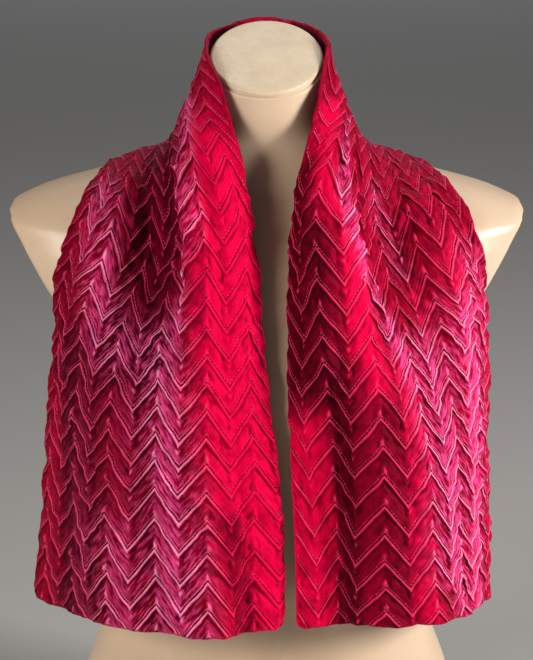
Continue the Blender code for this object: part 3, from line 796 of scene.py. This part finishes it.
stitch = {
    "long": 1.9, "spacing": 2.8, "thick": 0.44, "offset": -0.9, "over": 0.25, "seed": 3,
    "firstAt": 2.6, "nextFrom": 3.2, "endBefore": 2.5, "hemClear": 2.0,
}


def stitchGuides(surface):
    # one polyline in the seam of every tuck, with the direction out of the cloth
    points, edges, outwards = [], [], []
    last = int(strip["tucksPerSide"])
    step = halfPeriod / 8
    across = np.arange(strip["zigzagStart"] * halfPeriod, strip["width"] - stitch["endBefore"], step)
    across = np.concatenate([[stitch["firstAt"]], across[across > stitch["nextFrom"]]])
    for tuck in range(-last, last + 1):
        side = 1 if tuck >= 0 else -1
        line = float(tuckLine(np.array(tuck))) + side * stitch["offset"] * slant
        dist, spread = patternSpots(line, across)
        inside = np.abs(dist) < halfLength - stitch["hemClear"]
        here, dist = spread[inside], dist[inside]
        height, lean, tone = relief(dist, here)
        height = height * crowding(surface, dist, here)**2
        lift = strip["wallTop"] + height + foldHeight(dist, here) + stitch["over"]
        spots, normals = onSurface(surface, dist + lean, here, lift)
        first = len(points)
        points += spots.tolist()
        outwards += normals.tolist()
        edges += [(first + n, first + n + 1) for n, gap in enumerate(np.diff(here)) if gap < step * 2.2]
    mesh = bpy.data.meshes.new("stitchGuides")
    mesh.from_pydata(points, edges, [])
    out = mesh.attributes.new("out", "FLOAT_VECTOR", "POINT")
    out.data.foreach_set("vector", np.array(outwards).ravel())
    return addObject("stitches", mesh)


def stitchNodes(thread):
    tree = bpy.data.node_groups.new("stitchRows", "GeometryNodeTree")
    face = tree.interface
    face.new_socket("Guides", in_out="INPUT", socket_type="NodeSocketGeometry")
    for name, kind, value in (("Spacing", "NodeSocketFloat", stitch["spacing"] * mm),
                              ("Length", "NodeSocketFloat", stitch["long"] * mm),
                              ("Thickness", "NodeSocketFloat", stitch["thick"] * mm),
                              ("Seed", "NodeSocketInt", stitch["seed"])):
        face.new_socket(name, in_out="INPUT", socket_type=kind).default_value = value
    face.new_socket("Stitches", in_out="OUTPUT", socket_type="NodeSocketGeometry")

    def add(kind, x, **settings):
        node = tree.nodes.new(kind)
        node.location = (x, 0)
        for key, value in settings.items():
            setattr(node, key, value)
        return node

    given = add("NodeGroupInput", 0)
    curve = add("GeometryNodeMeshToCurve", 200)
    resample = add("GeometryNodeResampleCurve", 400, mode="LENGTH")
    tangent = add("GeometryNodeInputTangent", 400)
    out = add("GeometryNodeInputNamedAttribute", 400, data_type="FLOAT_VECTOR")
    out.inputs["Name"].default_value = "out"
    turnOut = add("FunctionNodeAlignRotationToVector", 600, axis="Z")
    turnAlong = add("FunctionNodeAlignRotationToVector", 800, axis="X", pivot_axis="Z")
    ball = add("GeometryNodeMeshIcoSphere", 800)
    ball.inputs["Radius"].default_value = 0.5
    ball.inputs["Subdivisions"].default_value = 1
    vary = add("FunctionNodeRandomValue", 800, data_type="FLOAT")
    vary.inputs[2].default_value = 0.8
    vary.inputs[3].default_value = 1.1
    long = add("ShaderNodeMath", 900, operation="MULTIPLY")
    scale = add("ShaderNodeCombineXYZ", 1000)
    place = add("GeometryNodeInstanceOnPoints", 1200)
    real = add("GeometryNodeRealizeInstances", 1400)
    smooth = add("GeometryNodeSetShadeSmooth", 1500)
    paint = add("GeometryNodeSetMaterial", 1600)
    paint.inputs["Material"].default_value = thread
    result = add("NodeGroupOutput", 1800)
    for source, output, target, entry in (
        (given, "Guides", curve, "Mesh"), (curve, "Curve", resample, "Curve"),
        (given, "Spacing", resample, "Length"), (out, "Attribute", turnOut, "Vector"),
        (turnOut, "Rotation", turnAlong, "Rotation"), (tangent, "Tangent", turnAlong, "Vector"),
        (given, "Seed", vary, "Seed"), (given, "Length", long, 0), (vary, 1, long, 1),
        (long, 0, scale, "X"), (given, "Thickness", scale, "Y"), (given, "Thickness", scale, "Z"),
        (resample, "Curve", place, "Points"), (ball, "Mesh", place, "Instance"),
        (turnAlong, "Rotation", place, "Rotation"), (scale, "Vector", place, "Scale"),
        (place, "Instances", real, "Geometry"), (real, "Geometry", smooth, "Geometry"),
        (smooth, "Geometry", paint, "Geometry"), (paint, "Geometry", result, "Stitches"),
    ):
        tree.links.new(source.outputs[output], target.inputs[entry])
    return tree


def makeStitches(surface, thread):
    guide = stitchGuides(surface)
    rows = guide.modifiers.new("stitchRows", "NODES")
    rows.node_group = stitchNodes(thread)
    graph = bpy.context.evaluated_depsgraph_get()
    mesh = bpy.data.meshes.new_from_object(guide.evaluated_get(graph))
    guide.modifiers.remove(rows)
    guide.data = mesh
    return guide


def newMaterial(name):
    material = bpy.data.materials.new(name)
    material.use_nodes = True
    return material, material.node_tree, material.node_tree.nodes["Principled BSDF"]


def setSockets(node, values):
    for name, value in values.items():
        node.inputs[name].default_value = value


def newGroup(name, inputs, outputs):
    tree = bpy.data.node_groups.new(name, "ShaderNodeTree")
    for title, kind, value in inputs:
        socket = tree.interface.new_socket(title, in_out="INPUT", socket_type=kind)
        if value is not None:
            socket.default_value = value
    for title, kind in outputs:
        tree.interface.new_socket(title, in_out="OUTPUT", socket_type=kind)
    return tree, tree.nodes.new("NodeGroupInput"), tree.nodes.new("NodeGroupOutput")


def noiseNode(tree, vector, scale, detail=2.0, rough=0.5, stretch=None):
    node = tree.nodes.new("ShaderNodeTexNoise")
    setSockets(node, {"Scale": scale, "Detail": detail, "Roughness": rough})
    if stretch:
        mapping = tree.nodes.new("ShaderNodeMapping")
        mapping.inputs["Scale"].default_value = stretch
        tree.links.new(vector, mapping.inputs["Vector"])
        vector = mapping.outputs["Vector"]
    tree.links.new(vector, node.inputs["Vector"])
    return node.outputs["Fac"]


def rangeNode(tree, value, low, high, newLow, newHigh):
    node = tree.nodes.new("ShaderNodeMapRange")
    node.clamp = True
    for n, number in zip((1, 2, 3, 4), (low, high, newLow, newHigh)):
        node.inputs[n].default_value = number
    tree.links.new(value, node.inputs[0])
    return node.outputs[0]


def mixColour(tree, factor, a, b):
    node = tree.nodes.new("ShaderNodeMix")
    node.data_type = "RGBA"
    tree.links.new(factor, node.inputs["Factor"])
    for socket, value in ((node.inputs[6], a), (node.inputs[7], b)):
        if isinstance(value, tuple):
            socket.default_value = value
        else:
            tree.links.new(value, socket)
    return node.outputs[2]


def mathNode(tree, operation, a, b):
    node = tree.nodes.new("ShaderNodeMath")
    node.operation = operation
    for socket, value in zip(node.inputs, (a, b)):
        if isinstance(value, (int, float)):
            socket.default_value = value
        else:
            tree.links.new(value, socket)
    return node.outputs[0]


def blend(tree, value, low, high, first, last, a, b):
    # colour a to b as the value goes from low to high, in shares first to last
    return mixColour(tree, rangeNode(tree, value, low, high, first, last), a, b)


def uvMap(tree, name):
    node = tree.nodes.new("ShaderNodeUVMap")
    node.uv_map = name
    return node.outputs["UV"]


def objectSpot(tree):
    return tree.nodes.new("ShaderNodeTexCoord").outputs["Object"]


def addBump(tree, shader, height, strength, distance):
    bump = tree.nodes.new("ShaderNodeBump")
    setSockets(bump, {"Strength": strength, "Distance": distance})
    tree.links.new(height, bump.inputs["Height"])
    tree.links.new(bump.outputs["Normal"], shader.inputs["Normal"])


# dark is painted shade, bright painted light, deep the middle between them; the crest colour is a painted
# highlight on the folds, the next two painted pink sheen, the seam colour painted shade
velvetLook = {
    "dark": (0.070, 0.0, 0.004, 1),
    "deep": (0.30, 0.0, 0.018, 1),
    "bright": (0.80, 0.0, 0.055, 1),
    "crest": (0.95, 0.008, 0.12, 1),
    "sheenHighlight": (0.95, 0.08, 0.33, 1),
    "crestSheenHighlight": (1.0, 0.36, 0.58, 1),
    "seamShade": (0.045, 0.0, 0.005, 1),
    "sheen": 0.16,
    "sheenTint": (1.0, 0.03, 0.30, 1),
    "sheenRoughness": 0.30,
    "roughness": 0.44,
    "specular": 0.15,
    "specularTint": (1.0, 0.10, 0.34, 1),
    "napHeight": 0.0004,
    # noise scales, for maps in tenths of a metre
    "scales": {"patches": 10.0, "swirl": 22.0, "streaks": 85.0, "pile": 260.0},
}


def velvetGroup():
    # colour and height of the pile, from the strip's own map, the tucks' painted highlight and shade tone,
    # the painted light, shade and highlight patches and the painted light on the facets
    colours = ("dark", "deep", "bright", "crest", "sheenHighlight", "crestSheenHighlight", "seamShade")
    inputs = [("Map", "NodeSocketVector", None), ("Rows", "NodeSocketVector", None)]
    inputs += [(name, "NodeSocketFloat", 0.0) for name in ("Tone", "Nap", "Shine", "Facet")]
    inputs += [(name, "NodeSocketColor", velvetLook[name]) for name in colours]
    tree, given, result = newGroup("velvetPile", inputs, (
        ("Colour", "NodeSocketColor"), ("Height", "NodeSocketFloat"), ("Roughness", "NodeSocketFloat")))
    have = given.outputs

    def times(value, number):
        return mathNode(tree, "MULTIPLY", value, number)

    def plus(first, *others):
        for other in others:
            first = mathNode(tree, "ADD", first, other)
        return first

    scales = velvetLook["scales"]
    patches = noiseNode(tree, have["Map"], scales["patches"], 2.0, 0.5)
    swirl = noiseNode(tree, have["Rows"], scales["swirl"], 2.0, 0.5, (0.8, 1.25, 1))
    streaks = noiseNode(tree, have["Rows"], scales["streaks"], 3.0, 0.6, (0.6, 1.3, 1))
    pile = noiseNode(tree, have["Map"], scales["pile"], 2.0, 0.6, (0.6, 1.0, 1))
    crushed = plus(times(patches, 1.3), times(swirl, 1.0), times(streaks, 0.5), -1.42)
    # painted light and shade from the patches, the facets turned to the light and the tucks' tone, mixed with
    # random crush, from the dark shade colour through the middle to the lit colour
    shadeAndCrush = plus(have["Nap"], times(have["Facet"], 0.13), times(have["Tone"], 0.55), crushed)
    base = blend(tree, shadeAndCrush, -1.1, 0.0, 0.0, 1.0, have["dark"], have["deep"])
    base = blend(tree, shadeAndCrush, 0.0, 0.9, 0.0, 1.0, base, have["bright"])
    # painted pink sheen in spots, where the shine patches allow it
    highlightMix = plus(times(have["Facet"], 0.03), times(have["Tone"], 0.10),
                 times(swirl, 0.75), times(streaks, 0.25))
    spots = rangeNode(tree, highlightMix, 0.43, 0.64, 0.0, 1.0)
    shine = rangeNode(tree, have["Shine"], 0.0, 1.0, 0.0, 1.0)
    base = mixColour(tree, mathNode(tree, "MULTIPLY", shine, spots), base, have["sheenHighlight"])
    # painted highlight along the folds of the tucks, stronger where the shine patches are
    up = rangeNode(tree, have["Tone"], 0.5, 0.98, 0.0, 1.0)
    amount = rangeNode(tree, have["Shine"], -0.6, 0.7, 0.42, 1.0)
    crestGlint = mathNode(tree, "MULTIPLY", mathNode(tree, "MULTIPLY", up, amount),
                     rangeNode(tree, streaks, 0.36, 0.60, 0.6, 1.0))
    crest = blend(tree, have["Shine"], -0.1, 0.8, 0.0, 1.0, have["crest"], have["crestSheenHighlight"])
    base = mixColour(tree, crestGlint, base, crest)
    # painted shade in the seams and under the folds, where the tone is lowest
    low = rangeNode(tree, have["Tone"], -1.0, -0.3, 0.6, 0.0)
    base = mixColour(tree, low, base, have["seamShade"])
    tree.links.new(base, result.inputs["Colour"])
    tree.links.new(plus(times(streaks, 1.1), times(swirl, 2.6), times(pile, 0.6)), result.inputs["Height"])
    dull = velvetLook["roughness"]
    roughness = rangeNode(tree, have["Shine"], -0.5, 1.0, dull + 0.12, dull - 0.06)
    tree.links.new(roughness, result.inputs["Roughness"])
    return tree


def velvetMaterial():
    material, tree, shader = newMaterial("velvet")
    setSockets(shader, {"Sheen Weight": velvetLook["sheen"], "Sheen Roughness": velvetLook["sheenRoughness"],
                        "Sheen Tint": velvetLook["sheenTint"], "Specular IOR Level": velvetLook["specular"],
                        "Specular Tint": velvetLook["specularTint"]})
    pile = tree.nodes.new("ShaderNodeGroup")
    pile.node_tree = velvetGroup()
    for name, socket in (("strip", "Map"), ("rows", "Rows")):
        tree.links.new(uvMap(tree, name), pile.inputs[socket])
    for name in ("tone", "nap", "shine", "facet"):
        given = tree.nodes.new("ShaderNodeAttribute")
        given.attribute_name = name
        tree.links.new(given.outputs["Fac"], pile.inputs[name.capitalize()])
    tree.links.new(pile.outputs["Colour"], shader.inputs["Base Color"])
    tree.links.new(pile.outputs["Roughness"], shader.inputs["Roughness"])
    addBump(tree, shader, pile.outputs["Height"], 1.0, velvetLook["napHeight"])
    return material


backingLook = {
    "dark": (0.16, 0.006, 0.035, 1), "light": (0.34, 0.03, 0.10, 1),
    "weave": 60.0, "weaveHeight": 0.00012, "sheen": 0.35,
}


def backingMaterial():
    material, tree, shader = newMaterial("backing")
    setSockets(shader, {"Sheen Weight": backingLook["sheen"], "Sheen Tint": (1.0, 0.5, 0.7, 1),
                        "Specular IOR Level": 0.4, "Roughness": 0.45})
    uv = uvMap(tree, "strip")
    wave = tree.nodes.new("ShaderNodeTexWave")
    wave.bands_direction = "DIAGONAL"
    setSockets(wave, {"Scale": backingLook["weave"], "Distortion": 0.6, "Detail": 1.0})
    tree.links.new(uv, wave.inputs["Vector"])
    slubs = noiseNode(tree, uv, 40.0, 3.0, 0.6, (0.4, 2.0, 1))
    both = mathNode(tree, "MULTIPLY", wave.outputs["Fac"], slubs)
    colour = mixColour(tree, both, backingLook["dark"], backingLook["light"])
    tree.links.new(colour, shader.inputs["Base Color"])
    addBump(tree, shader, wave.outputs["Fac"], 0.6, backingLook["weaveHeight"])
    return material


threadLook = {"dark": (0.34, 0.01, 0.06, 1), "light": (0.78, 0.10, 0.25, 1), "roughness": 0.42}


def threadMaterial():
    material, tree, shader = newMaterial("thread")
    setSockets(shader, {"Roughness": threadLook["roughness"], "Sheen Weight": 0.3})
    uneven = noiseNode(tree, objectSpot(tree), 160.0, 2.0)
    colour = blend(tree, uneven, 0.35, 0.65, 0.0, 1.0, threadLook["dark"], threadLook["light"])
    tree.links.new(colour, shader.inputs["Base Color"])
    return material


shellLook = {
    "base": (0.70, 0.53, 0.38, 1), "warm": (0.63, 0.45, 0.30, 1), "scuff": (0.78, 0.64, 0.50, 1),
    "speck": (0.42, 0.27, 0.18, 1), "roughness": (0.32, 0.46), "coat": 0.1, "ripple": 0.0004,
}


def shellMaterial():
    material, tree, shader = newMaterial("formShell")
    setSockets(shader, {"Coat Weight": shellLook["coat"], "Coat Roughness": 0.25, "Specular IOR Level": 0.38})
    spot = objectSpot(tree)
    clouds = noiseNode(tree, spot, 6.0, 3.0, 0.55)
    specks = noiseNode(tree, spot, 420.0, 2.0, 0.6)
    rub = noiseNode(tree, spot, 28.0, 5.0, 0.7, (1, 1, 0.35))
    colour = blend(tree, clouds, 0.35, 0.65, 0, 1, shellLook["warm"], shellLook["base"])
    colour = blend(tree, rub, 0.60, 0.78, 0, 0.35, colour, shellLook["scuff"])
    colour = blend(tree, specks, 0.66, 0.74, 0, 0.25, colour, shellLook["speck"])
    tree.links.new(colour, shader.inputs["Base Color"])
    tree.links.new(rangeNode(tree, rub, 0.35, 0.7, *shellLook["roughness"]), shader.inputs["Roughness"])
    waviness, grit = mathNode(tree, "MULTIPLY", clouds, 2.0), mathNode(tree, "MULTIPLY", specks, 0.10)
    addBump(tree, shader, mathNode(tree, "ADD", waviness, grit), 0.5, shellLook["ripple"])
    return material


capLook = {
    "base": (0.74, 0.60, 0.42, 1), "dark": (0.62, 0.48, 0.32, 1), "pit": (0.45, 0.32, 0.21, 1),
    "roughness": 0.40, "peel": 0.0005,
}


def capMaterial():
    material, tree, shader = newMaterial("formCap")
    setSockets(shader, {"Roughness": capLook["roughness"], "Specular IOR Level": 0.45})
    spot = objectSpot(tree)
    peel = noiseNode(tree, spot, 300.0, 3.0, 0.6)
    stain = noiseNode(tree, spot, 35.0, 4.0, 0.65)
    colour = blend(tree, stain, 0.40, 0.72, 0, 0.8, capLook["base"], capLook["dark"])
    colour = blend(tree, peel, 0.56, 0.74, 0, 0.2, colour, capLook["pit"])
    tree.links.new(colour, shader.inputs["Base Color"])
    addBump(tree, shader, peel, 0.8, capLook["peel"])
    return material


velvet = velvetMaterial()
backing = backingMaterial()
thread = threadMaterial()
shell = shellMaterial()
lid = capMaterial()
print("materials made")

# form
torso = makeTorso(formShape, shell)
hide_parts("form_torso")
neckCap = makeCap(cap, formShape["neckCut"], lid)
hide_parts("form_neck_cap")
print("form made:", len(torso.data.polygons), "faces")

# cloth's surface, kept off the uncut form
uncut = formRings(formShape, False)
formTree = BVHTree.FromPolygons([Vector(p) for p in uncut.reshape(-1, 3)], loftFaces(*uncut.shape[:2]))
surface = drapedSurface(formTree)
print("cloth draped:", surface["grid"].shape)

# velvet and backing, one piece for each stretch
pastHem = (strip["tucksPerSide"] + 2) * pitch
split = strip["frontFrom"] * pitch
curlEnd = strip["curl"] * (np.pi - 1) + strip["turnIn"]
frontFlat = (strip["width"] * mm, (halfLength - split) * mm)
backFlat = (strip["width"] * mm, 2 * split * mm)
stretches = {
    "RightFront": {"lines": (-pastHem, -split), "node": "right_front", "flat": frontFlat},
    "NeckBack": {"lines": (-split, split), "node": "neck_back", "flat": backFlat},
    "LeftFront": {"lines": (split, pastHem), "node": "left_front", "flat": frontFlat},
}
mesh = {
    "velvetRows": [row[0] for row in tuckProfile],
    "velvetColumn": halfPeriod / 15,
    "hemCuts": (8.0, 5.0, 3.0, 1.45, 0.7, 0.0, -0.8, -1.6, -2.4, -3.1, -curlEnd),
    "backingRows": (-6.25, -2.0, 2.0, 6.25),
    "backingColumn": halfPeriod / 4,
    "backingInset": 1.6,
    "backingLift": 0.35,
}
for name, stretch in stretches.items():
    flat = flatMesh(*stretch["lines"], mesh["velvetRows"], mesh["velvetColumn"], curlEnd, mesh["hemCuts"])
    piece = finishCloth("velvet" + name, flat, surface, velvet, True, 0)
    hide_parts("scarf_" + stretch["node"])
    inset = mesh["backingInset"]
    flat = flatMesh(*stretch["lines"], mesh["backingRows"], mesh["backingColumn"], -inset, (inset,))
    under = finishCloth("backing" + name, flat, surface, backing, False, mesh["backingLift"])
    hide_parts("backing_" + stretch["node"])
    print(name, "made:", len(piece.data.polygons), "and", len(under.data.polygons), "faces")

stitches = makeStitches(surface, thread)
print("stitches made:", len(stitches.data.polygons), "faces")

# everything made here rides on the one body
for piece in list(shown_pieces()):
    if not piece.name.startswith(("form_", "scarf_", "backing_")):
        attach(piece, "root")

room = {
    "floor": (0.40, 0.395, 0.385, 1), "floorReach": 16, "floorDrop": 0.0005,
    "world": (0.60, 0.61, 0.63, 1), "worldStrength": 0.08,
}
floorPaint, tree, shader = newMaterial("floorPaint")
setSockets(shader, {"Base Color": room["floor"], "Roughness": 0.8})
corners = [(x * room["floorReach"], y * room["floorReach"], -room["floorDrop"])
           for x, y in ((-1, -1), (1, -1), (1, 1), (-1, 1))]
floor = makeObject("floor", corners, [(0, 1, 2, 3)], floorPaint)
world = bpy.data.worlds.new("studio")
world.use_nodes = True
setSockets(world.node_tree.nodes["Background"], {"Color": room["world"], "Strength": room["worldStrength"]})
bpy.context.scene.world = world

# name, place, aimed at, size, power, colour
lights = (
    ("window", (1.65, -0.7, 0.95), (0, 0, 0.4), 0.5, 46, (1.0, 0.97, 0.94)),
    ("fill", (-1.45, -1.2, 0.95), (0, 0, 0.4), 0.8, 28, (1.0, 0.95, 0.88)),
    ("top", (0.1, 0.7, 1.8), (0, 0, 0.4), 1.0, 6, (1.0, 0.98, 0.96)),
    ("backdrop", (0, 7, 4.0), (0, 8, 0), 5.0, 95, (0.97, 0.98, 1.0)),
)
for name, place, aim, size, power, colour in lights:
    data = bpy.data.lights.new(name, "AREA")
    data.size, data.energy, data.color = size, power, colour
    lamp = addObject(name, data)
    lamp.location = place
    lamp.rotation_euler = (Vector(aim) - lamp.location).to_track_quat("-Z", "Y").to_euler()

bpy.context.scene.view_settings.view_transform = "Standard"
camera = {"target": (0, -0.06, 0.4), "distance": 1.5, "elevation": 18, "lens": 111}
rise = np.radians(camera["elevation"])
ahead = Vector((0, np.cos(rise), -np.sin(rise)))
eye = addObject("camera", bpy.data.cameras.new("camera"))
eye.data.lens = camera["lens"]
eye.data.sensor_width = 36
eye.location = Vector(camera["target"]) - ahead * camera["distance"]
eye.rotation_euler = ahead.to_track_quat("-Z", "Y").to_euler()
bpy.context.scene.camera = eye
print("room, lights and camera placed")
